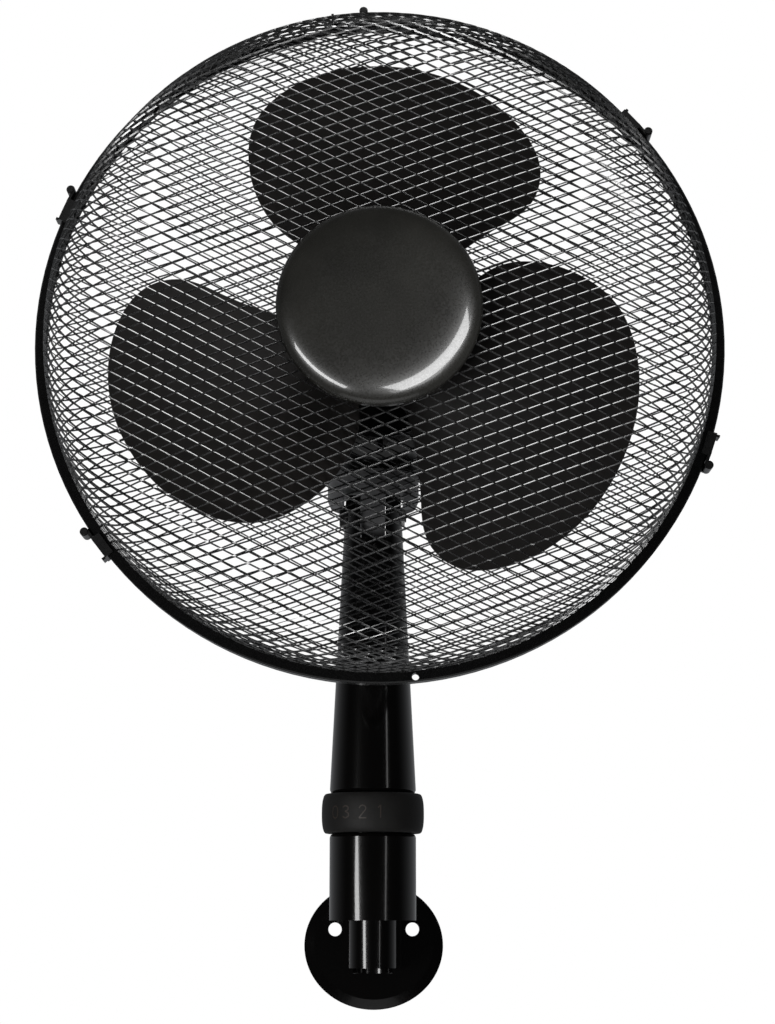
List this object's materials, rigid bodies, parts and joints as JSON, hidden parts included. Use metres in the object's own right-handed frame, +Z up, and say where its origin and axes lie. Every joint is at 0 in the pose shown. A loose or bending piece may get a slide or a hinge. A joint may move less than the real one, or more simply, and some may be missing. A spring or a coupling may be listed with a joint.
{
  "type": "wall mounted oscillating fan",
  "caption": "Wall mounted fan with a round expanded metal guard, broad blades, black centre cap, tapered column with a speed ring, and an arm with an oval wall plate.",
  "frame": {"origin": "centre of the wall plate's back face, on the wall", "axes": "+Z up, +Y out of the plate's back into the wall, the fan blows towards -Y"},
  "size_m": [0.43, 0.3166, 0.6366],
  "materials": {
    "black_gloss": "gloss moulded black",
    "grey_plastic": "satin moulded grey",
    "ring_plastic": "matte moulded dark grey",
    "black_plastic": "matte moulded black",
    "black_rubber": "matte",
    "guard_metal": "semi-gloss dark paint on expanded metal",
    "black_rim": "black paint",
    "zinc_steel": "zinc plated",
    "cast_alloy": "as cast",
    "core_steel": "laminated steel",
    "copper_winding": "varnished wire",
    "white_plastic": "natural moulded",
    "dark_plastic": "gloss moulded black",
    "black_clip": "black",
    "black_paint": "satin black paint"
  },
  "bodies": {
    "wall_base": {"wall_bracket": "black_gloss", "base_tube": "black_gloss", "lock_screw": "zinc_steel", "cord_grommet": "black_rubber", "switch_body": "black_plastic", "column_tube": "black_gloss", "column_screws": "zinc_steel", "tilt_bolt": "black_plastic", "tilt_nut": "zinc_steel"},
    "switch_ring": {"switch_ring": "ring_plastic", "switch_spider": "black_plastic"},
    "neck": {"neck": "grey_plastic", "pivot_post": "zinc_steel", "thrust_washer": "zinc_steel", "link_stud": "zinc_steel"},
    "head": {"motor_rear_cover": "black_gloss", "motor_front_cover": "black_gloss", "motor_screws": "zinc_steel", "rear_end_frame": "cast_alloy", "front_end_frame": "cast_alloy", "stator_core": "core_steel", "stator_windings": "copper_winding", "rear_bearing": "zinc_steel", "front_bearing": "zinc_steel", "gearbox_case": "white_plastic", "gearbox_lid": "white_plastic", "rear_cover_screw": "zinc_steel", "rear_mesh": "guard_metal", "rear_rim": "black_rim", "rear_hub_plate": "black_paint", "grille_nut": "black_plastic", "front_mesh": "guard_metal", "front_rim": "black_rim", "clip_rivets": "zinc_steel", "cap_plate": "black_paint", "centre_cap": "dark_plastic", "cap_screws": "zinc_steel"},
    "rotor": {"motor_shaft": "zinc_steel", "rotor_core": "core_steel", "thrust_collar": "zinc_steel", "drive_pin": "zinc_steel", "impeller": "dark_plastic", "spinner_nut": "black_plastic"},
    "wheel": {"worm_wheel": "white_plastic", "drive_spindle": "zinc_steel"},
    "crank": {"crank_gear": "white_plastic"},
    "link": {"link_rod": "zinc_steel"},
    "osc_knob": {"oscillation_knob": "black_plastic"},
    "clip_1": {"clip_1": "black_clip"},
    "clip_2": {"clip_2": "black_clip"},
    "clip_3": {"clip_3": "black_clip"},
    "clip_4": {"clip_4": "black_clip"},
    "clip_5": {"clip_5": "black_clip"}
  },
  "joints": [
    {"name": "switch_turn", "type": "hinge", "parent": "wall_base", "child": "switch_ring", "pos_m": [0, -0.105, 0.0856], "axis": [0, 0, -1], "range_deg": [0, 60]},
    {"name": "tilt", "type": "hinge", "parent": "wall_base", "child": "neck", "pos_m": [0, -0.105, 0.2832], "axis": [1, 0, 0], "range_deg": [-15, 20]},
    {"name": "swing", "type": "hinge", "parent": "neck", "child": "head", "pos_m": [0.0048, -0.105, 0.3724], "axis": [0, 0, 1], "range_deg": [-40, 40]},
    {"name": "blade_spin", "type": "hinge", "parent": "head", "child": "rotor", "pos_m": [0.0048, -0.225, 0.3724], "axis": [0, -1, 0], "continuous": true},
    {"name": "wheel_turn", "type": "hinge", "parent": "head", "child": "wheel", "pos_m": [0.0181, -0.0906, 0.3724], "axis": [0, 0, 1], "continuous": true},
    {"name": "crank_turn", "type": "hinge", "parent": "head", "child": "crank", "pos_m": [0.0208, -0.073, 0.3429], "axis": [0, 0, 1], "continuous": true},
    {"name": "link_turn", "type": "hinge", "parent": "crank", "child": "link", "pos_m": [0.01302, -0.08078, 0.339], "axis": [0, 0, 1], "continuous": true},
    {"name": "knob_pull", "type": "slide", "parent": "head", "child": "osc_knob", "axis": [0, 0, 1], "range_m": [0, 0.008]},
    {"name": "clip_1_open", "type": "hinge", "parent": "head", "child": "clip_1", "pos_m": [-0.00573, -0.225, 0.5902], "axis": [0, 1, 0], "range_deg": [0, 100]},
    {"name": "clip_2_open", "type": "hinge", "parent": "head", "child": "clip_2", "pos_m": [0.17505, -0.225, 0.50864], "axis": [0, 1, 0], "range_deg": [0, 100]},
    {"name": "clip_3_open", "type": "hinge", "parent": "head", "child": "clip_3", "pos_m": [0.20749, -0.225, 0.29202], "axis": [0, 1, 0], "range_deg": [0, 100]},
    {"name": "clip_4_open", "type": "hinge", "parent": "head", "child": "clip_4", "pos_m": [-0.17583, -0.225, 0.25025], "axis": [0, 1, 0], "range_deg": [0, 100]},
    {"name": "clip_5_open", "type": "hinge", "parent": "head", "child": "clip_5", "pos_m": [-0.19029, -0.225, 0.4698], "axis": [0, 1, 0], "range_deg": [0, 100]}
  ],
  "couplings": [
    {"joint": "wheel_turn", "follows": "blade_spin", "ratio": 0.027778},
    {"joint": "crank_turn", "follows": "blade_spin", "ratio": -0.006944},
    {"joint": "link_turn", "follows": "blade_spin", "ratio": 0.006944}
  ]
}
